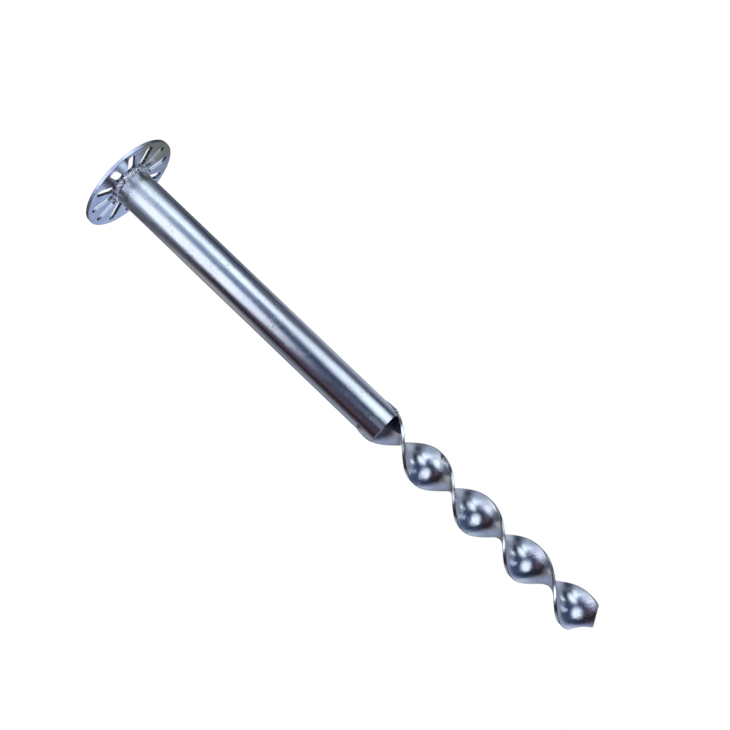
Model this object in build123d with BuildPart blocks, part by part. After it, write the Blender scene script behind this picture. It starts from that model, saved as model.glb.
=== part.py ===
from build123d import *
import math
import os

# A helical ground screw: a slotted mounting disc, a tube welded to the disc, and a twisted
# flat bar let into two slots in the tube's far end and welded there.
# It stands on its disc with its point up. The origin is the centre of the disc's outer face,
# +Z runs along the tube to the point, and +X runs along one of the disc's slots.

# Mounting disc, cut from plate, with radial slots that suit a range of bolt circles
disc_diameter = 133.0
disc_thickness = 4.0
disc_edge_break = 0.4
centre_hole_diameter = 30.0
slot_count = 12
slot_width = 10.5
slot_rim_margin = 6.25
slot_weld_clearance = 0.1

# Tube, standing square on the disc and open at both ends
tube_outer_diameter = 48.3
tube_wall = 2.6
tube_length = 426.0
tube_edge_break = 0.3

# Blade, a rolled flat bar twisted to a right-handed helix, a little wider than the tube
bar_stand_out = 0.85
bar_thickness = 4.0
twist_pitch = 160.0
blade_length = 362.0
blade_depth_in_tube = 23.0
blade_start_angle = 144.0
point_depth = 16.0
side_clearance = 0.2
end_clearance = 0.5

# Weld round the foot of the tube
foot_weld_leg = 4.5
foot_weld_crown = 0.5

# Welds over the bar's edges, where they come through the tube's wall
edge_weld_width = 15.0
edge_weld_height = 1.6
edge_weld_lead = 2.0

# Places along the axis and radii that follow from the sizes above
tube_radius = tube_outer_diameter / 2
bore_radius = tube_radius - tube_wall
bar_width = tube_outer_diameter + 2 * bar_stand_out
slot_inner_end = tube_radius + foot_weld_leg + slot_weld_clearance
slot_outer_end = disc_diameter / 2 - slot_rim_margin
tube_foot = disc_thickness
tube_end = tube_foot + tube_length
blade_foot = tube_end - blade_depth_in_tube
blade_tip = blade_foot + blade_length
cut_margin = 2.0


def bar_angle(height):
    """Turn of the bar's width about +Z at a height, in degrees from +X."""
    return blade_start_angle + 360 * (height - blade_foot) / twist_pitch


def twist_plane(height):
    """Plane square to the axis at a height, turned so that its X runs along the bar's width."""
    return Plane.XY.offset(height).rotated((0, 0, bar_angle(height)))


def twist_lines(bottom, top):
    """The axis between two heights, and the helix that turns a section along it."""
    axis_line = Edge.make_line((0, 0, bottom), (0, 0, top))
    guide = Edge.make_helix(twist_pitch, top - bottom, tube_radius, (0, 0, bottom))
    return axis_line, guide


def bar_outline(width, thickness):
    """Outline of the twisted bar, square to its axis.

    The bar keeps its thickness square to its own fibres. They lean more the further they
    are from the axis, so this cut is thicker at the edges by the secant of their lean.
    """
    lean = math.pi * width / twist_pitch
    edge_thickness = thickness * math.sqrt(1 + lean**2)
    with BuildSketch() as outline:
        with BuildLine():
            front = ThreePointArc(
                (width / 2, edge_thickness / 2),
                (0, thickness / 2),
                (-width / 2, edge_thickness / 2),
            )
            back = ThreePointArc(
                (-width / 2, -edge_thickness / 2),
                (0, -thickness / 2),
                (width / 2, -edge_thickness / 2),
            )
            Line(front @ 1, back @ 0)
            Line(back @ 1, front @ 0)
        make_face()
    return outline.sketch


# Mounting disc: a round plate with a centre hole that opens into the tube
with BuildPart() as mounting_disc:
    with BuildSketch():
        Circle(disc_diameter / 2)
        Circle(centre_hole_diameter / 2, mode=Mode.SUBTRACT)
    extrude(amount=disc_thickness)
    rim = mounting_disc.edges().filter_by(GeomType.CIRCLE).group_by(SortBy.RADIUS)[-1]
    chamfer(rim, disc_edge_break)
    with BuildSketch():
        with PolarLocations((slot_inner_end + slot_outer_end) / 2, slot_count):
            SlotOverall(slot_outer_end - slot_inner_end, slot_width)
    extrude(amount=disc_thickness, mode=Mode.SUBTRACT)
mounting_disc.part.label = "mounting_disc"

# Twisted blade: the bar's outline carried along the axis as it turns, cut to a shallow point
with BuildPart() as twisted_blade:
    with BuildSketch(twist_plane(blade_foot)):
        add(bar_outline(bar_width, bar_thickness))
    blade_axis, blade_guide = twist_lines(blade_foot, blade_tip)
    sweep(path=blade_axis, binormal=blade_guide)
    point_slope = point_depth / (bar_width / 2)
    cut_reach = bar_width / 2 + cut_margin
    with BuildSketch(Plane.XZ):
        with BuildLine():
            Polyline(
                (0, blade_tip),
                (cut_reach, blade_tip - cut_reach * point_slope),
                (cut_reach, blade_tip + cut_margin),
                (0, blade_tip + cut_margin),
                close=True,
            )
        make_face()
    revolve(axis=Axis.Z, mode=Mode.SUBTRACT)
twisted_blade.part.label = "twisted_blade"

# The slots' cutter: the bar's outline with room round it, turned as the bar is
slot_foot = blade_foot - end_clearance
with BuildPart() as slot_cutter:
    with BuildSketch(twist_plane(slot_foot)):
        cutter_width = tube_outer_diameter + 2 * cut_margin
        add(bar_outline(cutter_width, bar_thickness + 2 * side_clearance))
    cutter_axis, cutter_guide = twist_lines(slot_foot, tube_end + cut_margin)
    sweep(path=cutter_axis, binormal=cutter_guide)

# Tube: round tube with two helical slots at its far end
with BuildPart() as tube:
    with BuildSketch(Plane.XY.offset(tube_foot)):
        Circle(tube_radius)
        Circle(bore_radius, mode=Mode.SUBTRACT)
    extrude(amount=tube_length)
    far_rim = tube.edges().filter_by(GeomType.CIRCLE).group_by(Axis.Z)[-1]
    chamfer(far_rim, tube_edge_break)
    add(slot_cutter.part, mode=Mode.SUBTRACT)
tube.part.label = "tube"

# Foot weld: a fillet bead round the tube where it stands on the disc
with BuildPart() as foot_weld:
    with BuildSketch(Plane.XZ):
        with BuildLine():
            Line((tube_radius, tube_foot + foot_weld_leg), (tube_radius, tube_foot))
            Line((tube_radius, tube_foot), (tube_radius + foot_weld_leg, tube_foot))
            bead_middle = foot_weld_leg / 2 + foot_weld_crown / math.sqrt(2)
            ThreePointArc(
                (tube_radius + foot_weld_leg, tube_foot),
                (tube_radius + bead_middle, tube_foot + bead_middle),
                (tube_radius, tube_foot + foot_weld_leg),
            )
        make_face()
    revolve(axis=Axis.Z)
foot_weld.part.label = "foot_weld"


def edge_weld(turn):
    """One domed bead along the tube's surface, over the edge of the bar."""
    weld_foot = blade_foot - edge_weld_lead
    toe_angle = edge_weld_width / tube_outer_diameter
    toe_x = tube_radius * math.cos(toe_angle)
    toe_y = tube_radius * math.sin(toe_angle)
    with BuildPart() as bead:
        with BuildSketch(twist_plane(weld_foot).rotated((0, 0, turn))):
            with BuildLine():
                ThreePointArc((toe_x, -toe_y), (tube_radius, 0), (toe_x, toe_y))
                ThreePointArc(
                    (toe_x, toe_y),
                    (tube_radius + edge_weld_height, 0),
                    (toe_x, -toe_y),
                )
            make_face()
        weld_axis, weld_guide = twist_lines(weld_foot, tube_end)
        sweep(path=weld_axis, binormal=weld_guide)
        add(twisted_blade.part, mode=Mode.SUBTRACT)
    return bead.part


pieces = [mounting_disc.part, tube.part, twisted_blade.part, foot_weld.part]
for weld_name, weld_turn in (("edge_weld_a", 0), ("edge_weld_b", 180)):
    weld = edge_weld(weld_turn)
    weld.label = weld_name
    pieces.append(weld)

os.makedirs("parts", exist_ok=True)
for piece in pieces:
    export_step(piece, f"parts/{piece.label}.step")
    print(piece.label, "volume", round(piece.volume, 1), "mm3")
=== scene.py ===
import math

import bmesh
import bpy
import numpy as np
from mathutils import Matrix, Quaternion, Vector


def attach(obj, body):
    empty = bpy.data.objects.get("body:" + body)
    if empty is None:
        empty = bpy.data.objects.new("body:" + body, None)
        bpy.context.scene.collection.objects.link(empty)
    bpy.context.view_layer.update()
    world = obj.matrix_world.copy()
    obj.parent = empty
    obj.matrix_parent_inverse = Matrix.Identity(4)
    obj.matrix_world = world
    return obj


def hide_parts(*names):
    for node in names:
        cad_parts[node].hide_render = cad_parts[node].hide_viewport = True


# A helical ground screw, dressed for its picture. It stands on its slotted disc with its
# point up, as the frame has it. Lengths are in metres.
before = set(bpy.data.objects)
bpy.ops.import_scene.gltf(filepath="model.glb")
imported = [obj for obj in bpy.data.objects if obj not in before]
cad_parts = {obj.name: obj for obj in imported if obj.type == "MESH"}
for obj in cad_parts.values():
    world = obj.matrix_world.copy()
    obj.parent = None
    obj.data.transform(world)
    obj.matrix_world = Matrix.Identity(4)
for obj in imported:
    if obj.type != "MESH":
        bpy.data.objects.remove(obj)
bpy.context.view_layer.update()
scene = bpy.context.scene
scene.view_settings.view_transform = "Standard"

# The picture is taken from the tube's side with the camera turned over by some 134 degrees,
# so that the disc is at the upper left and the point at the lower right.
photo_size = 730
focal_length_px = 890.9
sensor_width_mm = 36.0
camera_place = Vector((-0.10898, -1.05886, 0.41645))
camera_aim = Vector((-0.03769, 0.0, 0.36268))
camera_roll = math.radians(133.62)

camera_data = bpy.data.cameras.new("camera")
camera_data.sensor_width = sensor_width_mm
camera_data.lens = focal_length_px / photo_size * sensor_width_mm
camera = bpy.data.objects.new("camera", camera_data)
scene.collection.objects.link(camera)
camera.location = camera_place
level_view = (camera_aim - camera_place).to_track_quat("-Z", "Y")
camera.rotation_mode = "QUATERNION"
camera.rotation_quaternion = level_view @ Quaternion((0, 0, 1), camera_roll)
scene.camera = camera


# The floor is a wide sheet of white paper. It shows to the camera and takes a faint contact
# shadow, and it can't be seen from below or in the metal.
floor_reach = 6.0
paper_base = (0.06, 0.06, 0.06, 1.0)
paper_roughness = 0.9
paper_white = (1.0, 1.0, 1.0, 1.0)
paper_glow = 0.97


def new_material(name):
    """An empty node material and its tree."""
    material = bpy.data.materials.new(name)
    material.use_nodes = True
    material.node_tree.nodes.clear()
    return material, material.node_tree


def add_node(tree, kind, inputs=None, **settings):
    """A node with its settings. An input given as a socket is linked, and any other is set."""
    node = tree.nodes.new("ShaderNode" + kind)
    for name, value in settings.items():
        setattr(node, name, value)
    for place, value in (inputs or {}).items():
        if isinstance(value, bpy.types.NodeSocket):
            tree.links.new(value, node.inputs[place])
        else:
            node.inputs[place].default_value = value
    return node


def floor_paper():
    """Diffuse paper with a glow under it, clear from its back."""
    material, tree = new_material("floor_paper")
    paper = add_node(
        tree,
        "BsdfPrincipled",
        {
            "Base Color": paper_base,
            "Roughness": paper_roughness,
            "Specular IOR Level": 0.0,
            "Emission Color": paper_white,
            "Emission Strength": paper_glow,
        },
    )
    clear = add_node(tree, "BsdfTransparent")
    side = add_node(tree, "NewGeometry")
    shaders = {1: paper.outputs["BSDF"], 2: clear.outputs["BSDF"]}
    pick = add_node(tree, "MixShader", {"Fac": side.outputs["Backfacing"], **shaders})
    add_node(tree, "OutputMaterial", {"Surface": pick.outputs["Shader"]})
    return material


def grid_mesh(name, points, close_u=False, close_v=False):
    """A mesh of quads over a grid of points, rows along v and columns along u."""
    rows, columns = points.shape[:2]
    v, u = np.meshgrid(
        np.arange(rows if close_v else rows - 1),
        np.arange(columns if close_u else columns - 1),
        indexing="ij",
    )
    after_u = (u + 1) % columns
    row, row_after = v * columns, (v + 1) % rows * columns
    faces = np.stack([row + u, row + after_u, row_after + after_u, row_after + u], axis=-1)
    mesh = bpy.data.meshes.new(name)
    mesh.from_pydata(points.reshape(-1, 3), [], faces.reshape(-1, 4))
    return mesh


def new_object(name, mesh, material, smooth=True):
    """An object at the origin that shows a mesh in one material."""
    mesh.materials.append(material)
    mesh.polygons.foreach_set("use_smooth", np.full(len(mesh.polygons), smooth))
    mesh.update()
    made = bpy.data.objects.new(name, mesh)
    scene.collection.objects.link(made)
    return made


floor_span = np.array([-floor_reach, floor_reach])
floor_x, floor_y = np.meshgrid(floor_span, floor_span)
floor_points = np.stack([floor_x, floor_y, np.zeros_like(floor_x)], axis=-1)
floor = new_object("floor", grid_mesh("floor", floor_points), floor_paper(), smooth=False)
floor.visible_glossy = False


# The studio round the metal: a wide dome that shows only in the metal, painted as a dim blue
# room with soft boxes. Each patch is an ellipse of light or shade with a soft edge, placed by
# its bearing from the camera's side (degrees, + to the object's +X) and its height.
dome_radius = 1.40
dome_middle = 0.385
dome_columns = 96
dome_rows = 49
least_ahead = 0.001
room_shade = (0.135, 0.148, 0.188)
# Patch: bearing, height, half width, half height (all in degrees), softness of edge, colour
studio_patches = {
    "roof": (-23, 75, 52, 45, 0.10, (0.049, 0.079, 0.157)),
    "ground_bounce": (-43, -81, 34, 54, 0.30, (1.343, 1.426, 1.397)),
    "right_wall": (145, -4, 33, 79, 0.10, (0.519, 0.623, 0.831)),
    "right_wall_top": (154, 58, 26, 24, 0.77, (1.025, 1.155, 1.334)),
    "left_wall": (-135, 33, 34, 38, 0.95, (0.338, 0.385, 0.474)),
    "left_corner": (-91, 14, 19, 15, 0.95, (0.026, 0.041, 0.066)),
    "left_window": (-105, 39, 14, 5, 0.44, (1.027, 1.171, 1.274)),
    "warm_curtain": (68, 4, 21, 40, 0.47, (0.034, 0.021, 0.023)),
    "right_gap": (39, 41, 27, 31, 0.90, (0.024, 0.031, 0.055)),
    "low_back_corner": (141, -37, 30, 16, 0.56, (0.073, 0.067, 0.070)),
    "low_left_box": (-43, -32, 32, 19, 0.38, (1.480, 1.657, 1.683)),
    "low_left_screen": (-129, -52, 20, 38, 0.10, (0.170, 0.188, 0.219)),
    "gap_under_top_box": (-4, -11, 36, 14, 0.49, (0.048, 0.066, 0.126)),
    "grey_door": (128, 12, 37, 34, 0.17, (0.135, 0.079, 0.004)),
    "back_lamp": (162, -32, 16, 7, 0.68, (1.001, 1.064, 1.123)),
    "left_eaves": (-50, 78, 41, 5, 0.18, (0.073, 0.097, 0.172)),
    "plum_panel": (53, -12, 12, 16, 0.95, (0.105, 0.079, 0.113)),
    "ground_glow": (-78, -65, 25, 35, 0.95, (0.406, 0.489, 0.606)),
    "high_window": (-91, 63, 20, 5, 0.55, (0.594, 0.692, 0.838)),
    "blue_panel": (128, 23, 28, 44, 0.95, (0.387, 0.453, 0.598)),
    "back_reflector": (176, 26, 16, 4, 0.17, (0.621, 0.730, 1.177)),
    "dark_frame": (34, 9, 16, 16, 0.10, (0.075, 0.057, 0.081)),
    "navy_gap": (-21, -26, 18, 11, 0.95, (0.233, 0.311, 0.447)),
    "top_box_wing": (12, 41, 17, 15, 0.61, (1.196, 1.121, 1.261)),
    "low_box": (18, -49, 35, 17, 0.95, (0.671, 0.755, 0.918)),
    "left_box": (-54, 2, 25, 15, 0.91, (1.332, 1.493, 1.603)),
    "top_box": (6, 34, 20, 23, 0.95, (1.228, 1.392, 1.527)),
    "backdrop": (-151, -2, 23, 18, 0.95, (0.595, 0.661, 0.776)),
    "left_screen": (-116, -24, 14, 10, 0.60, (0.062, 0.082, 0.118)),
    "warm_shelf": (120, -22, 19, 7, 0.70, (0.490, 0.470, 0.430)),
}


def new_group(name, inputs, outputs):
    """A shader node group with named sockets: its tree, and the sockets that its inputs give."""
    tree = bpy.data.node_groups.new(name, "ShaderNodeTree")
    for place, (kind, value) in inputs.items():
        socket = tree.interface.new_socket(
            name=place, in_out="INPUT", socket_type="NodeSocket" + kind
        )
        if value is not None:
            socket.default_value = value
    for place, kind in outputs.items():
        tree.interface.new_socket(name=place, in_out="OUTPUT", socket_type="NodeSocket" + kind)
    return tree, tree.nodes.new("NodeGroupInput").outputs


def put_out(group, results):
    """Links the sockets that a group puts out."""
    output = group.nodes.new("NodeGroupOutput")
    for place, value in results.items():
        group.links.new(value, output.inputs[place])


def calc(tree, operation, *values):
    """The result of a sum on sockets and numbers."""
    node = add_node(tree, "Math", dict(enumerate(values)), operation=operation)
    return node.outputs["Value"]


def vector_calc(tree, operation, *values):
    """The node of a sum on vectors."""
    return add_node(tree, "VectorMath", dict(enumerate(values)), operation=operation)


def remap(tree, value, low, high, to_low=0.0, to_high=1.0, ease="SMOOTHSTEP"):
    """A value carried from one range to another, eased between them and held at their ends."""
    ranges = {"From Min": low, "From Max": high, "To Min": to_low, "To Max": to_high}
    node = add_node(tree, "MapRange", {"Value": value, **ranges}, interpolation_type=ease)
    return node.outputs["Result"]


def blend(tree, share, first, second):
    """A colour that passes from the first to the second as the share goes from 0 to 1."""
    node = add_node(tree, "Mix", {"Factor": share, 6: first, 7: second}, data_type="RGBA")
    return node.outputs[2]


def studio_patch_group():
    """A soft ellipse of colour laid over what is behind it.

    With d the direction looked in, and c, r and u the patch's centre, right and up, the
    distance is the length of (d.r / half width, d.u / half height) over d.c, which is 1 on
    the rim. The mask falls smoothly from 1 to 0 between 1 - edge and 1 + edge.
    """
    vectors = dict.fromkeys(("Direction", "Centre", "Right", "Up"), ("Vector", None))
    floats = dict.fromkeys(("Half Width", "Half Height", "Edge"), ("Float", None))
    colours = dict.fromkeys(("Light", "Behind"), ("Color", None))
    group, given = new_group(
        "studio_patch", {**vectors, **floats, **colours}, {"Color": "Color"}
    )

    def dot(axis):
        return vector_calc(group, "DOT_PRODUCT", given["Direction"], given[axis]).outputs["Value"]

    ahead = calc(group, "MAXIMUM", dot("Centre"), least_ahead)

    def square_of(axis, half):
        slope = calc(group, "DIVIDE", dot(axis), ahead)
        share = calc(group, "DIVIDE", slope, given[half])
        return calc(group, "MULTIPLY", share, share)

    across, along = square_of("Right", "Half Width"), square_of("Up", "Half Height")
    reach = calc(group, "SQRT", calc(group, "ADD", across, along))
    inner = calc(group, "SUBTRACT", 1.0, given["Edge"])
    outer = calc(group, "ADD", 1.0, given["Edge"])
    mask = remap(group, reach, inner, outer, 1.0, 0.0, ease="SMOOTHERSTEP")
    put_out(group, {"Color": blend(group, mask, given["Behind"], given["Light"])})
    return group


def studio_axes(bearing, height):
    """Centre, right and up of a patch, as unit vectors."""
    a, e = math.radians(bearing), math.radians(height)
    centre = Vector((math.sin(a) * math.cos(e), -math.cos(a) * math.cos(e), math.sin(e)))
    right = Vector((math.cos(a), math.sin(a), 0.0))
    return centre, right, centre.cross(right)


def studio_light():
    """The dome's glow: the patches laid over the room's shade by their direction."""
    material, tree = new_material("studio_light")
    patch_group = studio_patch_group()
    place = add_node(tree, "TexCoord").outputs["Object"]
    centred = vector_calc(tree, "SUBTRACT", place, (0.0, 0.0, dome_middle)).outputs["Vector"]
    direction = vector_calc(tree, "NORMALIZE", centred).outputs["Vector"]
    behind = (*room_shade, 1.0)
    for name, (bearing, height, *half_sizes, edge, colour) in studio_patches.items():
        centre, right, up = studio_axes(bearing, height)
        half_width, half_height = (math.tan(math.radians(half)) for half in half_sizes)
        patch = add_node(
            tree,
            "Group",
            {
                "Direction": direction,
                "Centre": centre,
                "Right": right,
                "Up": up,
                "Half Width": half_width,
                "Half Height": half_height,
                "Edge": edge,
                "Light": (*colour, 1.0),
                "Behind": behind,
            },
            node_tree=patch_group,
            label=name,
        )
        behind = patch.outputs["Color"]
    glow = add_node(tree, "Emission", {"Color": behind})
    add_node(tree, "OutputMaterial", {"Surface": glow.outputs["Emission"]})
    return material


def only_in_metal(light):
    """Keeps a light sheet out of all but the metal's reflections."""
    light.visible_camera = False
    light.visible_diffuse = False
    light.visible_transmission = False
    light.visible_volume_scatter = False
    light.visible_shadow = False
    light.data.materials[0].cycles.emission_sampling = "NONE"


def dome_sheet():
    """The dome's grid: a ball with its bearing along u and its height, pole to pole, along v."""
    bearing = np.linspace(0, 2 * math.pi, dome_columns, endpoint=False)
    u, v = np.meshgrid(bearing, np.linspace(-math.pi / 2, math.pi / 2, dome_rows))
    ball = np.stack([np.cos(v) * np.cos(u), np.cos(v) * np.sin(u), np.sin(v)], axis=-1)
    return dome_radius * ball + np.array([0.0, 0.0, dome_middle])


dome_mesh = grid_mesh("studio_dome", dome_sheet(), close_u=True)
dome = new_object("studio_dome", dome_mesh, studio_light(), smooth=False)
only_in_metal(dome)

# The camera sees plain white round the object.
world = bpy.data.worlds.new("white")
scene.world = world
world.use_nodes = True
world.node_tree.nodes["Background"].inputs["Color"].default_value = paper_white

# One soft box stands near the disc, so that only the tube's foot end and, far below it, the
# blade see it. It lights nothing but the metal's reflections.
foot_box_bearing = math.radians(22.2)
foot_box_distance = 0.422
foot_box_middle = 0.004
foot_box_half_width = 0.327
foot_box_half_height = 0.335
foot_box_full_share = 0.29
foot_box_colour = (0.865, 0.923, 1.000, 1.0)
foot_box_glow = 1.48


def foot_box_light():
    """Light that fades from the middle of the sheet to nothing at its rim."""
    material, tree = new_material("foot_box_light")
    away = Vector((math.sin(foot_box_bearing), -math.cos(foot_box_bearing), 0))
    middle = away * foot_box_distance
    middle.z = foot_box_middle
    centred = add_node(
        tree,
        "Mapping",
        {
            "Vector": add_node(tree, "TexCoord").outputs["Object"],
            "Location": middle,
            "Rotation": (0, 0, foot_box_bearing),
            "Scale": (foot_box_half_width, 1.0, foot_box_half_height),
        },
        vector_type="TEXTURE",
    )
    reach = vector_calc(tree, "LENGTH", centred.outputs["Vector"]).outputs["Value"]
    mask = remap(tree, reach, 1.0, foot_box_full_share, ease="SMOOTHERSTEP")
    clear = add_node(tree, "BsdfTransparent")
    glow = add_node(tree, "Emission", {"Color": foot_box_colour, "Strength": foot_box_glow})
    shaders = {1: clear.outputs["BSDF"], 2: glow.outputs["Emission"]}
    faded = add_node(tree, "MixShader", {"Fac": mask, **shaders})
    add_node(tree, "OutputMaterial", {"Surface": faded.outputs["Shader"]})
    return material


def foot_box_sheet():
    """An upright rectangle that faces the axis: s along it and z up."""
    across = np.array([-foot_box_half_width, foot_box_half_width])
    up = np.array([-foot_box_half_height, foot_box_half_height]) + foot_box_middle
    s, z = np.meshgrid(across, up)
    x = foot_box_distance * math.sin(foot_box_bearing) + s * math.cos(foot_box_bearing)
    y = -foot_box_distance * math.cos(foot_box_bearing) + s * math.sin(foot_box_bearing)
    return np.stack([x, y, z], axis=-1)


foot_box_mesh = grid_mesh("foot_box", foot_box_sheet())
foot_box = new_object("foot_box", foot_box_mesh, foot_box_light(), smooth=False)
only_in_metal(foot_box)


# Zinc finish, shared by the disc, the tube and the blade: electroplated zinc with a faint
# blue cast, clouded where the bath ran off, with a satin grain, fine pits and dark specks.
# On edges it takes painted shade, and on the flats of the blade's edges a painted highlight.
# Where it is seen nearly edge on, it turns a little warmer and darker.
zinc_edge_on_tint = (0.78, 0.77, 0.70, 1.0)
pit_colour = (0.07, 0.07, 0.09, 1.0)
painted_highlight_colour = (0.95, 0.96, 0.98, 1.0)
pit_roughness = 0.3
grain_height = 0.35
patchy_grain_height = 1.8
streak_height = 0.5
pit_field_scale = 60.0
patchy_scale = 42.0
stain_rim_scale = 90.0
edge_break_scale = 500.0


def noise(tree, place, scale, detail):
    """Soft noise at a place, with its middle at about 0.5."""
    node = add_node(tree, "TexNoise", {"Vector": place, "Scale": scale, "Detail": detail})
    return node.outputs["Fac"]


def zinc_finish_group():
    """Colour, roughness and height of bright zinc.

    Clouds are low noise that drifts the colour between two tints. Grain is fine noise, streaks
    are noise drawn out along one axis, pits and nodules are the cores of scattered cells, and
    specks are the peaks of fine noise, in patches. Edge paints shade on edges where it is
    above 0, broken up by noise, and a highlight where it is below. One stain, a ball with an
    uneven rim, dulls the metal near a weld or where the part hung in the bath. Each remap's
    first two numbers are where its mark begins and ends on the noise or the distance that it
    is made from.
    """
    group, given = new_group(
        "zinc_finish",
        {
            "Vector": ("Vector", None),
            "Streak Vector": ("Vector", None),
            "Tint": ("Color", None),
            "Cloud Tint": ("Color", None),
            "Cloud Scale": ("Float", None),
            "Grain Scale": ("Float", 620.0),
            "Pit Scale": ("Float", 260.0),
            "Pit Amount": ("Float", 0.8),
            "Speck Scale": ("Float", 560.0),
            "Speck Amount": ("Float", 0.6),
            "Roughness": ("Float", None),
            "Rough Drift": ("Float", 0.05),
            "Edge": ("Float", None),
            "Edge Tint": ("Color", None),
            "Stain Place": ("Vector", None),
            "Stain Size": ("Float", None),
            "Stain Tint": ("Color", None),
            "Stain Amount": ("Float", None),
            "Stain Roughness": ("Float", 0.15),
        },
        {"Color": "Color", "Roughness": "Float", "Height": "Float"},
    )

    def field(scale, detail):
        return noise(group, given["Vector"], scale, detail)

    clouds = remap(group, field(given["Cloud Scale"], 4.0), 0.35, 0.65)
    grain = field(given["Grain Scale"], 2.0)
    streaks = noise(group, given["Streak Vector"], 1.0, 3.0)
    cells = {"Vector": given["Vector"], "Scale": given["Pit Scale"]}
    distance = add_node(group, "TexVoronoi", cells).outputs["Distance"]
    core = remap(group, distance, 0.11, 0.20, 1.0, 0.0)
    pit_field = field(pit_field_scale, 1.0)
    pits = calc(group, "MULTIPLY", core, remap(group, pit_field, 0.57, 0.62))
    pits = calc(group, "MULTIPLY", pits, given["Pit Amount"])
    nodules = calc(group, "MULTIPLY", core, remap(group, pit_field, 0.36, 0.44, 1.0, 0.0))
    patchy = remap(group, field(patchy_scale, 2.0), 0.46, 0.62)
    specks = remap(group, field(given["Speck Scale"], 1.0), 0.60, 0.72)
    specks = calc(group, "MULTIPLY", specks, patchy)
    specks = calc(group, "MULTIPLY", specks, given["Speck Amount"])

    away = vector_calc(group, "DISTANCE", given["Vector"], given["Stain Place"])
    reach = calc(group, "DIVIDE", away.outputs["Value"], given["Stain Size"])
    uneven_rim = remap(group, field(stain_rim_scale, 3.0), 0.3, 0.7, -0.25, 0.25)
    reach = calc(group, "ADD", reach, uneven_rim)
    stain = remap(group, reach, 0.6, 1.1, 1.0, 0.0)
    stain = calc(group, "MULTIPLY", stain, given["Stain Amount"])
    # The edge mark: painted shade where Edge is above 0, broken by noise, and a painted highlight
    # where it is below.
    broken = remap(group, field(edge_break_scale, 2.0), 0.35, 0.6, 0.65, 1.0)
    painted_shade_edge = calc(group, "MULTIPLY", given["Edge"], broken)
    painted_highlight_edge = calc(group, "MULTIPLY", given["Edge"], -1.0)

    colour = blend(group, clouds, given["Tint"], given["Cloud Tint"])
    colour = blend(group, calc(group, "MAXIMUM", pits, specks), colour, pit_colour)
    colour = blend(group, stain, colour, given["Stain Tint"])
    colour = blend(group, painted_shade_edge, colour, given["Edge Tint"])
    colour = blend(group, painted_highlight_edge, colour, painted_highlight_colour)

    drift = calc(
        group,
        "ADD",
        remap(group, clouds, 0.0, 1.0, -0.5, 0.5),
        remap(group, streaks, 0.3, 0.7, -0.5, 0.5),
    )
    drift = calc(group, "MULTIPLY", drift, given["Rough Drift"])
    rough = calc(group, "ADD", given["Roughness"], drift)
    rough = calc(group, "ADD", rough, calc(group, "MULTIPLY", pits, pit_roughness))
    stain_rough = calc(group, "MULTIPLY", stain, given["Stain Roughness"])
    rough = calc(group, "ADD", rough, stain_rough)

    coarse = calc(group, "MULTIPLY_ADD", patchy, patchy_grain_height, grain_height)
    coarse = calc(group, "MULTIPLY", grain, coarse)
    height = calc(group, "ADD", coarse, calc(group, "MULTIPLY", streaks, streak_height))
    height = calc(group, "ADD", height, nodules)
    height = calc(group, "SUBTRACT", height, pits)
    put_out(group, {"Color": colour, "Roughness": rough, "Height": height})
    return group


zinc_finish = zinc_finish_group()


def metal_surface(tree, finish, bump_height, inputs=None):
    """Metal that takes its colour, roughness and height from a finish."""
    bump = add_node(
        tree,
        "Bump",
        {"Strength": 1.0, "Distance": bump_height, "Height": finish.outputs["Height"]},
    )
    metal = add_node(
        tree,
        "BsdfPrincipled",
        {
            "Metallic": 1.0,
            "Base Color": finish.outputs["Color"],
            "Roughness": finish.outputs["Roughness"],
            "Normal": bump.outputs["Normal"],
            **(inputs or {}),
        },
    )
    add_node(tree, "OutputMaterial", {"Surface": metal.outputs["BSDF"]})


def zinc_material(name, streak_scale, bump_height, settings):
    """Bright zinc with its own tint, gloss and direction of draw."""
    material, tree = new_material(name)
    place = add_node(tree, "TexCoord").outputs["Object"]
    drawn = add_node(tree, "Mapping", {"Vector": place, "Scale": streak_scale})
    # The mesh's painted shade and painted highlight on its edges.
    edge = add_node(tree, "Attribute", attribute_name="painted_edge_light")
    finish = add_node(
        tree,
        "Group",
        {
            "Vector": place,
            "Streak Vector": drawn.outputs["Vector"],
            "Edge": edge.outputs["Fac"],
            **settings,
        },
        node_tree=zinc_finish,
    )
    metal_surface(tree, finish, bump_height, {"Specular Tint": zinc_edge_on_tint})
    return material


# Mounting disc: a round plate punched with twelve radial slots, so that it can be bolted to
# posts of several sizes. Its edges are slightly rounded, and it was plated with the rest.
# The slots' walls are painted with shade, darkest at their round ends and in every third
# slot, and so are the rim's rounded corners and the rim away from the front.
disc_radius = 0.06648
disc_thickness = 0.004
centre_hole_radius = 0.015
slot_count = 12
slot_half_width = 0.00525
slot_inner_end = 0.02875
slot_outer_end = 0.06025
disc_edge_round = 0.00035
disc_edge_steps = 3
sector_inner_radius = 0.0262
sector_steps = 6
ring_steps = 5
arc_steps = 12
side_steps = 10
# Painted shade on the slots' walls, darkest at their round ends and in every third slot.
slot_wall_painted_shade = 0.25
darkest_shaded_slots = (1, 4, 7, 10)
darkest_slot_painted_shade = 0.97
slot_end_painted_shade = 1.0
# Painted shade on the rims' rounded corners, and on the rim away from the disc's front.
rim_corner_painted_shade = 0.5
far_rim_painted_shade = 0.55
unshaded_rim_reach = 52
rim_shade_fade = 14
touching = 1e-6
merge_distance = 2e-6
sliver_length = 1e-7


def edge_profile(thickness, radius, steps):
    """How far a rounded edge has drawn back, and its height, from the lower face to the upper.

    The two corners are quarter circles of the given radius: the draw back is radius times
    (1 - cos a) and the height moves by radius times sin a, as a goes from 90 to 0 degrees
    and back.
    """
    a = np.linspace(math.pi / 2, 0, steps + 1)
    back = radius * (1 - np.cos(a))
    height = radius * (1 - np.sin(a))
    return np.concatenate([back, back[::-1]]), np.concatenate([height, thickness - height[::-1]])


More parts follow.
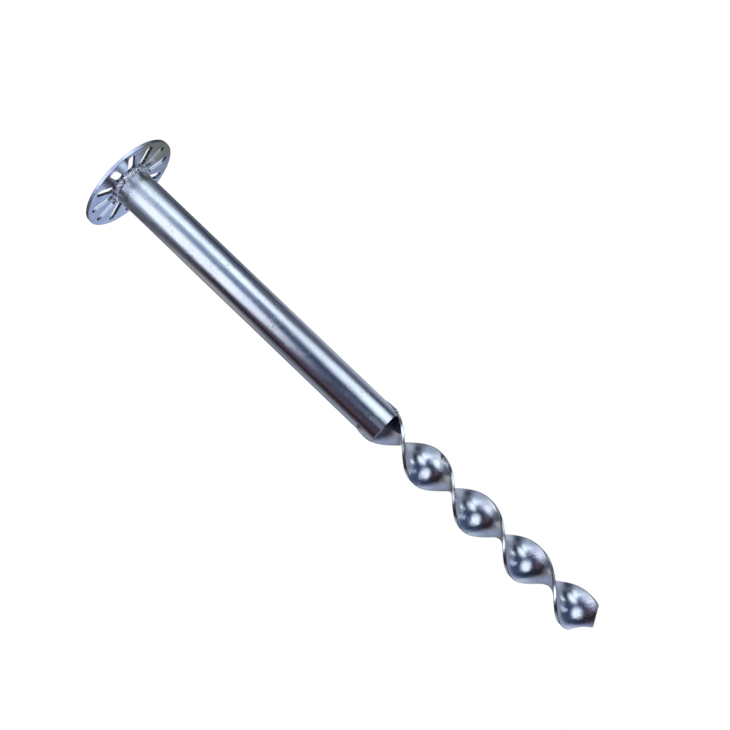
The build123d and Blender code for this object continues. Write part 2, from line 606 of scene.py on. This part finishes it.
def slot_ring(grow):
    """A slot's outline on the +X axis, grown by a margin: two half circles joined by lines."""
    reach = slot_half_width + grow
    near, far = slot_inner_end + slot_half_width, slot_outer_end - slot_half_width
    turn = np.linspace(-math.pi / 2, math.pi / 2, arc_steps, endpoint=False)
    run = np.linspace(far, near, side_steps, endpoint=False)
    bulge, rise = reach * np.cos(turn), reach * np.sin(turn)
    x = np.concatenate([far + bulge, run, near - bulge, near + far - run])
    y = np.concatenate([rise, 0 * run + reach, -rise, 0 * run - reach])
    return np.stack([x, y], axis=-1)


def sector_ring():
    """The outline of a slot's own sector of the disc, with as many points as the slot's."""
    half = math.pi / slot_count
    outer, inner = disc_radius - disc_edge_round, sector_inner_radius
    turn = np.linspace(-half, half, arc_steps, endpoint=False)
    run = np.linspace(outer, inner, side_steps, endpoint=False)
    radius = np.concatenate([0 * turn + outer, run, 0 * turn + inner, inner + outer - run])
    angle = np.concatenate([turn, 0 * run + half, -turn, 0 * run - half])
    return np.stack([radius * np.cos(angle), radius * np.sin(angle)], axis=-1)


def closed_mesh(name, parts):
    """One closed mesh from grids of points, with their seams merged and normals outwards.

    Each part is (points, painted light, closed along u, closed along v), where the painted
    light is a number per point that the zinc reads: above 0 for painted shade on an edge and
    below 0 for a painted highlight.
    """
    joined = bmesh.new()
    joined.verts.layers.float.new("painted_edge_light")
    for points, painted_light, close_u, close_v in parts:
        part = grid_mesh(name, points, close_u, close_v)
        part.attributes.new("painted_edge_light", "FLOAT", "POINT")
        values = np.broadcast_to(painted_light, points.shape[:2]).astype(np.float32).ravel()
        part.attributes["painted_edge_light"].data.foreach_set("value", np.ascontiguousarray(values))
        joined.from_mesh(part)
        bpy.data.meshes.remove(part)
    bmesh.ops.remove_doubles(joined, verts=joined.verts, dist=merge_distance)
    bmesh.ops.dissolve_degenerate(joined, edges=joined.edges, dist=sliver_length)
    bmesh.ops.recalc_face_normals(joined, faces=joined.faces)
    mesh = bpy.data.meshes.new(name)
    joined.to_mesh(mesh)
    joined.free()
    return mesh


def on_circles(radius, angle):
    """Points on circles round the axis, x and y in the last place."""
    return np.dstack([radius * np.cos(angle), radius * np.sin(angle)])


def at_height(flat, height):
    """Flat points lifted to a height, which may differ from point to point."""
    return np.dstack([flat, np.broadcast_to(height, flat.shape[:2])])


def plate_parts():
    """The parts of the disc: twelve slotted sectors, the ring inside them and both rims.

    A sector's face is its outline passed in even steps to the slot's outline, and a wall or
    a rim is its outline at each step of the rounded edge's draw back and height. The rim is
    left without painted shade for some degrees each side of the disc's front, which is at -Y,
    and painted with shade beyond it.
    """
    back, height = edge_profile(disc_thickness, disc_edge_round, disc_edge_steps)
    height = height[:, None]
    on_wall = (back < touching)[:, None]
    share = np.linspace(0, 1, sector_steps)[:, None, None]
    sector = sector_ring() * (1 - share) + slot_ring(disc_edge_round) * share
    wall = np.stack([slot_ring(b) for b in back])
    slot_middle = (slot_inner_end + slot_outer_end) / 2
    straight = (slot_outer_end - slot_inner_end) / 2 - slot_half_width
    round_end = np.abs(slot_ring(0.0)[:, 0] - slot_middle) > straight
    parts = []
    for i in range(slot_count):
        painted_light = darkest_slot_painted_shade if i in darkest_shaded_slots else slot_wall_painted_shade
        slot_painted_shade = on_wall * np.maximum(slot_end_painted_shade * round_end, painted_light)
        a = 2 * math.pi * i / slot_count
        turn = np.array([[math.cos(a), math.sin(a)], [-math.sin(a), math.cos(a)]])
        for z in (0.0, disc_thickness):
            parts.append((at_height(sector @ turn, z), 0.0, True, False))
        parts.append((at_height(wall @ turn, height), slot_painted_shade, True, False))
    half = math.pi / slot_count
    arc = np.linspace(-half, half, arc_steps, endpoint=False)
    around = np.concatenate([arc + 2 * half * i for i in range(slot_count)])
    hole = centre_hole_radius + disc_edge_round
    radius = np.linspace(hole, sector_inner_radius, ring_steps)[:, None]
    for z in (0.0, disc_thickness):
        parts.append((at_height(on_circles(radius, around), z), 0.0, True, False))
    # Painted shade: the rims darken away from the front, and their rounded corners all round.
    from_front = np.abs((np.degrees(around) + 270) % 360 - 180)
    far_rim_shade = np.clip((from_front - unshaded_rim_reach) / rim_shade_fade, 0, 1)
    rim_painted_shade = np.maximum(far_rim_painted_shade * far_rim_shade, rim_corner_painted_shade * ~on_wall)
    for radius in (disc_radius - back, centre_hole_radius + back):
        rim = on_circles(radius[:, None], around)
        parts.append((at_height(rim, height), rim_painted_shade, True, False))
    return parts


def even_shading(piece):
    """Lets broad faces keep their own shading next to narrow rounded edges."""
    piece.modifiers.new("even_shading", "WEIGHTED_NORMAL").weight = 100


disc_zinc = zinc_material(
    "disc_zinc",
    streak_scale=(90.0, 14.0, 90.0),
    bump_height=0.00010,
    settings={
        "Tint": (0.68, 0.735, 0.90, 1.0),
        "Cloud Tint": (0.58, 0.62, 0.79, 1.0),
        "Cloud Scale": 30.0,
        "Pit Scale": 420.0,
        "Roughness": 0.16,
        "Rough Drift": 0.08,
        "Edge Tint": (0.035, 0.037, 0.05, 1.0),
        "Stain Place": (-0.072, -0.010, 0.004),
        "Stain Size": 0.046,
        "Stain Tint": (0.42, 0.40, 0.31, 1.0),
        "Stain Amount": 0.95,
    },
)
disc_mesh = closed_mesh("mounting_disc_plate", plate_parts())
disc = new_object("mounting_disc_plate", disc_mesh, disc_zinc)
even_shading(disc)
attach(disc, "root")
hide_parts("mounting_disc")

# Foot weld: a fillet laid by hand round the foot of the tube, with the ripples, lumps and
# spatter of such a bead. It was plated over, so it is a rougher zinc, with dark specks.
tube_radius = 0.02415
weld_leg = 0.0042
weld_leg_most = 0.0048
weld_crown = 0.0006
weld_root = 0.0002
upper_leg_sway = 0.13
lower_leg_sway = 0.10
lump_share = 0.9
ripple_count = 74
ripple_height = 0.00030
ripple_bow = 1.6
ripple_drift = 1.3
spatter_count = 90
spatter_least = 0.00018
spatter_most = 0.00060
spatter_up_tube = (0.0046, 0.0166)
spatter_out_disc = (0.0292, 0.0392)
spatter_slot_reach = 0.0058


def uneven(u, v, seed, waves, lowest, highest):
    """A smooth unevenness of about -1 to 1: a sum of cosines of whole numbers of waves.

    Each wave is cos(m u + n v + phase), with m a whole number, so that it closes round a
    circle in u. A seeded generator draws m, n and the phase of each, and the sum is divided
    by the square root of their number.
    """
    draw = np.random.default_rng(seed)
    total = np.zeros(np.broadcast(u, v).shape)
    for _ in range(waves):
        m = draw.integers(lowest, highest + 1)
        n = draw.uniform(-1, 1) * highest
        total += np.cos(m * u + n * v + draw.uniform(0, 2 * math.pi))
    return total / math.sqrt(waves)


def fillet_bead(columns=720, rows=14):
    """The bead's section carried round the tube.

    For t from 0 at the tube to 1 at the disc, radius = tube + leg t and height = disc +
    leg (1 - t), both moved out by crown 4 t (1 - t) / sqrt 2, with the leg and the crown
    varying round the tube and a chevron ripple on top.
    """
    turn = np.linspace(0, 2 * math.pi, columns, endpoint=False)[None, :]
    t = np.linspace(0, 1, rows)[:, None]
    upper = uneven(turn, 0.0, seed=3, waves=9, lowest=3, highest=17)
    upper = weld_leg * (1 + upper_leg_sway * upper)
    lower = uneven(turn, 0.0, seed=4, waves=9, lowest=3, highest=19)
    lower = np.minimum(weld_leg * (1 + lower_leg_sway * lower), weld_leg_most)
    dome = 4 * t * (1 - t)
    drift = ripple_drift * uneven(turn, 0.0, seed=5, waves=5, lowest=2, highest=9)
    ripple = np.abs(np.sin(0.5 * ripple_count * turn + ripple_bow * dome + drift))
    lump = uneven(turn, 1.0 * t, seed=6, waves=14, lowest=8, highest=40)
    swell = weld_crown * dome * (1 + lump_share * lump) + ripple_height * dome**0.5 * ripple
    swell = swell / math.sqrt(2)
    height = disc_thickness + upper * (1 - t) + swell
    return at_height(on_circles(tube_radius + lower * t + swell, turn), height)


def fillet_back(bead):
    """The hidden sides of the bead: from its toe on the disc to the corner and up the tube."""
    turn = np.arctan2(bead[:1, :, 1], bead[:1, :, 0])
    corner = at_height(on_circles(tube_radius - weld_root, turn), disc_thickness - weld_root)
    return np.stack([bead[-1], corner[0], bead[0]])


def spatter_beads():
    """Small domes of spatter on the disc and on the tube near the bead.

    Each is half a ball: its centre plus its size times (sin a cos b, sin a sin b, cos a) in
    the frame of the surface that it sits on, sunk a little into that surface.
    """
    draw = np.random.default_rng(11)

    def between(least, most, power):
        return least + (most - least) * draw.random() ** power

    a = np.linspace(0, 0.62 * math.pi, 5)[:, None]
    b = np.linspace(0, 2 * math.pi, 8, endpoint=False)[None, :]
    ball = np.dstack([np.sin(a) * np.cos(b), np.sin(a) * np.sin(b), np.cos(a) + 0 * b])
    up = np.array([0.0, 0.0, 1.0])
    half_sector = math.pi / slot_count
    beads = []
    for i in range(spatter_count):
        turn = draw.uniform(0, 2 * math.pi)
        size = between(spatter_least, spatter_most, 3)
        out = np.array([math.cos(turn), math.sin(turn), 0.0])
        side = np.array([-out[1], out[0], 0.0])
        if i % 2:
            height = disc_thickness + between(*spatter_up_tube, 2)
            place, axes = out * tube_radius + up * height, (side, up, out)
        else:
            radius = between(*spatter_out_disc, 2)
            from_slot = abs((turn + half_sector) % (2 * half_sector) - half_sector) * radius
            if from_slot < spatter_slot_reach:
                continue
            place, axes = out * radius + up * disc_thickness, (out, side, up)
        beads.append((place + size * (ball @ np.array(axes)), 0.0, True, False))
    return beads


def weld_skin_group():
    """Colour, roughness and height of a plated weld.

    Patches of low noise pass from one tint to the other, finer noise lays dark specks where
    it is high, and the height is lumps with a little of the fine noise on them.
    """
    group, given = new_group(
        "weld_skin",
        {
            "Vector": ("Vector", None),
            "Tint": ("Color", None),
            "Patch Tint": ("Color", None),
            "Patch Scale": ("Float", 85.0),
            "Dark Speck": ("Color", (0.055, 0.048, 0.060, 1.0)),
            "Dark Speck Amount": ("Float", None),
            "Speckle Scale": ("Float", None),
            "Lump Scale": ("Float", 190.0),
        },
        {"Color": "Color", "Roughness": "Float", "Height": "Float"},
    )
    speckle = noise(group, given["Vector"], given["Speckle Scale"], 1.4)
    lump = noise(group, given["Vector"], given["Lump Scale"], 2.0)
    patch = noise(group, given["Vector"], given["Patch Scale"], 1.0)
    # Dark specks on the peaks of the fine noise.
    dark_specks = calc(group, "MULTIPLY", remap(group, speckle, 0.54, 0.64), given["Dark Speck Amount"])
    share = remap(group, patch, 0.44, 0.58)
    colour = blend(group, share, given["Tint"], given["Patch Tint"])
    colour = blend(group, dark_specks, colour, given["Dark Speck"])
    rough = remap(group, speckle, 0.0, 1.0, 0.12, 0.36, ease="LINEAR")
    height = calc(group, "MULTIPLY_ADD", speckle, 0.45, lump)
    put_out(group, {"Color": colour, "Roughness": rough, "Height": height})
    return group


weld_skin = weld_skin_group()


def weld_material(name, bump_height, settings):
    """Plated weld metal: the shared weld skin with its own tints and lumps."""
    material, tree = new_material(name)
    place = add_node(tree, "TexCoord").outputs["Object"]
    skin = add_node(tree, "Group", {"Vector": place, **settings}, node_tree=weld_skin)
    metal_surface(tree, skin, bump_height)
    return material


foot_weld_metal = weld_material(
    "foot_weld_metal",
    bump_height=0.0016,
    settings={
        "Tint": (0.96, 0.98, 1.0, 1.0),
        "Patch Tint": (0.88, 0.82, 0.94, 1.0),
        "Patch Scale": 110.0,
        "Dark Speck Amount": 0.92,
        "Speckle Scale": 235.0,
    },
)
bead = fillet_bead()
foot_weld_parts = [(bead, 0.0, True, False), (fillet_back(bead), 0.0, True, False)]
foot_weld_mesh = closed_mesh("foot_weld_bead", foot_weld_parts + spatter_beads())
foot_weld = new_object("foot_weld_bead", foot_weld_mesh, foot_weld_metal)
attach(foot_weld, "root")
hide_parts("foot_weld")

# Tube: seam welded steel tube, cut square at both ends and slotted at the far end for the
# bar. It is drawn lengthways, and its bright plating shows faint lines that way. Little
# current reaches its bore in the bath, so the zinc in there is thin and dull, and its colour
# there is painted dark navy as the shade inside the tube.
bore_mask_radius = 0.0228
bore_painted_shade = (0.105, 0.12, 0.185, 1.0)
bore_roughness = 0.6

tube_zinc = zinc_material(
    "tube_zinc",
    streak_scale=(160.0, 160.0, 5.0),
    bump_height=0.00007,
    settings={
        "Tint": (0.68, 0.71, 0.78, 1.0),
        "Cloud Tint": (0.64, 0.66, 0.76, 1.0),
        "Cloud Scale": 16.0,
        "Pit Scale": 300.0,
        "Roughness": 0.155,
        "Stain Place": (0.0, 0.0, 0.002),
        "Stain Size": 0.036,
        "Stain Tint": (0.64, 0.66, 0.74, 1.0),
        "Stain Amount": 0.9,
        "Stain Roughness": 0.14,
    },
)


def dull_bore_with_painted_shade(material):
    """Dulls the tube's inside, where the distance from the axis is less than the mask's, and
    gives it the bore's painted shade as its colour.
    """
    tree = material.node_tree
    metal = next(node for node in tree.nodes if node.type == "BSDF_PRINCIPLED")
    place = add_node(tree, "TexCoord").outputs["Object"]
    flat = vector_calc(tree, "MULTIPLY", place, (1.0, 1.0, 0.0)).outputs["Vector"]
    from_axis = vector_calc(tree, "LENGTH", flat).outputs["Value"]
    inside = calc(tree, "LESS_THAN", from_axis, bore_mask_radius)
    outside = calc(tree, "GREATER_THAN", from_axis, bore_mask_radius)
    bright = {name: metal.inputs[name].links[0].from_socket for name in ("Base Color", "Roughness")}
    # Painted shade inside the tube.
    colour = blend(tree, inside, bright["Base Color"], bore_painted_shade)
    mixed = {"Factor": inside, 2: bright["Roughness"], 3: bore_roughness}
    rough = add_node(tree, "Mix", mixed, data_type="FLOAT").outputs[0]
    tree.links.new(colour, metal.inputs["Base Color"])
    tree.links.new(rough, metal.inputs["Roughness"])
    tree.links.new(outside, metal.inputs["Metallic"])


dull_bore_with_painted_shade(tube_zinc)
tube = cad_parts["tube"]
tube.data.materials.clear()
tube.data.materials.append(tube_zinc)

# Twisted blade: a rolled flat bar with small round corners, twisted hot to a right-handed
# helix and sheared to a shallow point. The twist stretches its edges more than its middle.
# Its corners are painted with shade, and the flats of its edges with a painted highlight.
blade_foot = 0.407
blade_tip = 0.769
twist_pitch = 0.160
twist_start = math.radians(144.0)
bar_half_width = 0.025
bar_half_thickness = 0.002
bar_corner = 0.0007
edge_points = 4
corner_points = 5
face_points = 37
# Painted shade on the bar's corners and a painted highlight on the flats of its edges.
corner_painted_shade = 1.0
edge_flat_painted_highlight = -0.7
tip_round = 0.0004
tip_round_steps = 4
tip_slope = 0.016 / 0.025


def twist_angle(height):
    """Turn of the bar's width about the axis, from +X, at a height."""
    return twist_start + 2 * math.pi * (height - blade_foot) / twist_pitch


def half_thickness(x):
    """Half the bar's thickness, cut square to the axis, at a distance x across it.

    It is t sqrt(1 + (2 pi x / pitch) squared), which is the bar's own half thickness over
    the cosine of its fibres' lean.
    """
    return bar_half_thickness * np.sqrt(1 + (2 * math.pi / twist_pitch * x) ** 2)


def half_section():
    """The front half of the bar's outline, from edge to edge, with quarter circles as corners.

    Points close to the corners keep the face's shading even.
    """
    corner_x = bar_half_width - bar_corner
    corner_y = half_thickness(corner_x) - bar_corner
    edge_y = np.linspace(0, corner_y, edge_points, endpoint=False)
    turn = np.linspace(0, math.pi / 2, corner_points, endpoint=False)
    face = np.linspace(0.95, -0.95, face_points)
    face_x = corner_x * np.concatenate([[1, 0.985], face, [-0.985, -1]])
    right_x = np.concatenate([0 * edge_y + bar_half_width, corner_x + bar_corner * np.cos(turn)])
    right_y = np.concatenate([edge_y, corner_y + bar_corner * np.sin(turn)])
    x = np.concatenate([right_x, face_x, -right_x[::-1]])
    y = np.concatenate([right_y, half_thickness(face_x), right_y[::-1]])
    return x, y


def blade_end(row, slope):
    """A strip that closes an end of the bar: the two halves of its outline and their middle.

    The middle is lifted by slope times how much nearer the axis it is than the outline.
    """
    half = len(row) // 2 + 1
    front, rear = row[:half], np.concatenate([row[:1], row[: half - 2 : -1]])
    middle = (front + rear) / 2
    drop = np.hypot(front[:, 0], front[:, 1]) - np.hypot(middle[:, 0], middle[:, 1])
    middle[:, 2] += slope * drop
    return np.stack([front, middle, rear])


def blade_parts(rows=300):
    """The bar's outline carried up the axis as it turns, with its top cut to a cone.

    Each point of the outline rises from the foot to the cone at tip - slope r, where r is
    its distance from the axis, and turns with its height. The last rows draw the outline
    in by tip_round (1 - cos a) while they rise by tip_round sin a.
    """
    x, y = half_section()
    x = np.concatenate([x, x[-2:0:-1]])
    y = np.concatenate([y, -y[-2:0:-1]])
    run_x, run_y = np.roll(x, -1) - np.roll(x, 1), np.roll(y, -1) - np.roll(y, 1)
    length = np.hypot(run_x, run_y)
    out_x, out_y = run_y / length, -run_x / length
    rise = np.concatenate([np.linspace(0, 1, rows), np.ones(tip_round_steps)])[:, None]
    rounding = np.linspace(0, math.pi / 2, tip_round_steps + 1)[1:]
    a = np.concatenate([np.zeros(rows), rounding])[:, None]
    inset = tip_round * (1 - np.cos(a))
    px, py = x - out_x * inset, y - out_y * inset
    top = blade_tip - tip_round - tip_slope * np.hypot(px, py)
    z = blade_foot + rise * (top - blade_foot) + tip_round * np.sin(a)
    cos, sin = np.cos(twist_angle(z)), np.sin(twist_angle(z))
    skin = np.stack([px * cos - py * sin, px * sin + py * cos, z], axis=-1)

    near_edge = np.abs(x) > bar_half_width - bar_corner - touching
    near_face = np.abs(y) > half_thickness(bar_half_width) - 1.2 * bar_corner
    corner = near_edge & near_face
    edge_flat = (np.abs(x) > bar_half_width - touching) & ~corner
    # Painted shade on the corners and a painted highlight on the flats of the edges.
    painted_light = np.broadcast_to(corner_painted_shade * corner + edge_flat_painted_highlight * edge_flat, px.shape)
    ends = [blade_end(skin[0], 0.0), blade_end(skin[-1], tip_slope)]
    return [(skin, painted_light, True, False)] + [(end, 0.0, False, False) for end in ends]


blade_zinc = zinc_material(
    "blade_zinc",
    streak_scale=(120.0, 120.0, 20.0),
    bump_height=0.00012,
    settings={
        "Tint": (0.68, 0.71, 0.78, 1.0),
        "Cloud Tint": (0.64, 0.65, 0.76, 1.0),
        "Cloud Scale": 24.0,
        "Grain Scale": 520.0,
        "Speck Scale": 480.0,
        "Roughness": 0.155,
        "Edge Tint": (0.05, 0.05, 0.07, 1.0),
        "Stain Place": (0.0, 0.0, 0.425),
        "Stain Size": 0.034,
        "Stain Tint": (0.66, 0.68, 0.78, 1.0),
        "Stain Amount": 0.8,
        "Stain Roughness": 0.10,
    },
)
blade = new_object("twisted_bar", closed_mesh("twisted_bar", blade_parts()), blade_zinc)
even_shading(blade)
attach(blade, "root")
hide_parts("twisted_blade")
# The turns show no clear picture of each other on the real bar, so it isn't reflected.
blade.visible_glossy = False

# Edge welds: one bead down each side of the tube's far end, over the edge of the bar where
# it comes through the wall. Each follows the bar's turn and is rough and full at the rim.
tube_end = 0.430
edge_weld_foot = 0.405
edge_weld_toe = 0.0072
edge_weld_rise = 0.0015
edge_weld_over = 0.0016
edge_weld_sunk = 0.00004
edge_weld_root = 0.0008
edge_weld_close = 0.10
edge_toe_sway = 0.08
toe_share_at_foot = 0.25
toe_share_at_rim = 0.5
edge_ripple_count = 11
edge_ripple_height = 0.00012
edge_ripple_bow = 1.5
edge_ripple_drift = 0.8
lump_across = 2.2
lump_middle = 0.85
lump_everywhere = 0.08
lump_where_lumpy = 0.30
lumpy_spread = 0.13


def edge_bead(seed, turn, fade, lumpy_place, rows=110, columns=36):
    """A domed bead along the bar's edge on the tube's surface and over its rim.

    Across it, u goes from -1 to 1 over the toes and the bead rises by rise (1 - u squared)
    to the power 0.8. Along it, v goes from 0 to 1: the bead fades in as a quarter circle over
    the given share and ends in another past the rim, and its lumps swell in a soft bell round
    the lumpy place.
    """
    v = np.linspace(0, 1, rows)[:, None]
    u = np.linspace(-1, 1, columns)[None, :]
    along = 2 * math.pi * v
    z = edge_weld_foot + v * (tube_end + edge_weld_over - edge_weld_foot) + 0 * u
    start = np.sqrt(np.clip(1 - (1 - np.clip(v / fade, 0, 1)) ** 2, 0, 1))
    closing = np.clip((v - (1 - edge_weld_close)) / edge_weld_close, 0, 1)
    finish = np.sqrt(1 - closing**2)
    sway = uneven(along, 1.0 * np.sign(u), seed, waves=8, lowest=2, highest=9)
    toe = edge_weld_toe * (toe_share_at_foot + (1 - toe_share_at_foot) * start)
    toe = toe * (toe_share_at_rim + (1 - toe_share_at_rim) * finish)
    toe = toe * (1 + edge_toe_sway * sway)
    angle = twist_angle(z) + turn + u * toe / tube_radius
    dome = np.clip(1 - u**2, 0, 1) ** 0.8
    drift = edge_ripple_drift * uneven(along, 0.0, seed + 1, waves=4, lowest=1, highest=4)
    chevron = math.pi * edge_ripple_count * v + edge_ripple_bow * u**2 + drift
    ripple = np.abs(np.sin(chevron))
    lumpy = np.exp(-(((v - lumpy_place) / lumpy_spread) ** 2))
    lump = uneven(along, lump_across * u, seed + 2, waves=16, lowest=3, highest=16)
    lump = lump_middle + (lump_everywhere + lump_where_lumpy * lumpy) * lump
    rise = edge_weld_rise * dome * start * finish * lump
    rise = rise + edge_ripple_height * ripple * dome**0.5 * finish
    outer = at_height(on_circles(tube_radius + rise - edge_weld_sunk, angle), z)
    inner = at_height(on_circles(tube_radius - edge_weld_root, angle), z)
    loop = np.concatenate([outer, inner[:, ::-1]], axis=1)
    lids = [np.stack([outer[row], inner[row]]) for row in (0, -1)]
    return [(loop, 0.0, True, False)] + [(lid, 0.0, False, False) for lid in lids]


edge_weld_metal = weld_material(
    "edge_weld_metal",
    bump_height=0.00036,
    settings={
        "Tint": (0.95, 0.91, 0.95, 1.0),
        "Patch Tint": (0.50, 0.46, 0.47, 1.0),
        "Dark Speck Amount": 0.75,
        "Speckle Scale": 330.0,
        "Lump Scale": 260.0,
    },
)
edge_welds = {
    "edge_weld_a": {"seed": 21, "turn": 0.0, "fade": 0.20, "lumpy_place": 0.85},
    "edge_weld_b": {"seed": 31, "turn": math.pi, "fade": 0.30, "lumpy_place": 0.15},
}
for side_name, bead_shape in edge_welds.items():
    bead_name = side_name + "_bead"
    weld = new_object(bead_name, closed_mesh(bead_name, edge_bead(**bead_shape)), edge_weld_metal)
    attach(weld, "root")
    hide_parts(side_name)
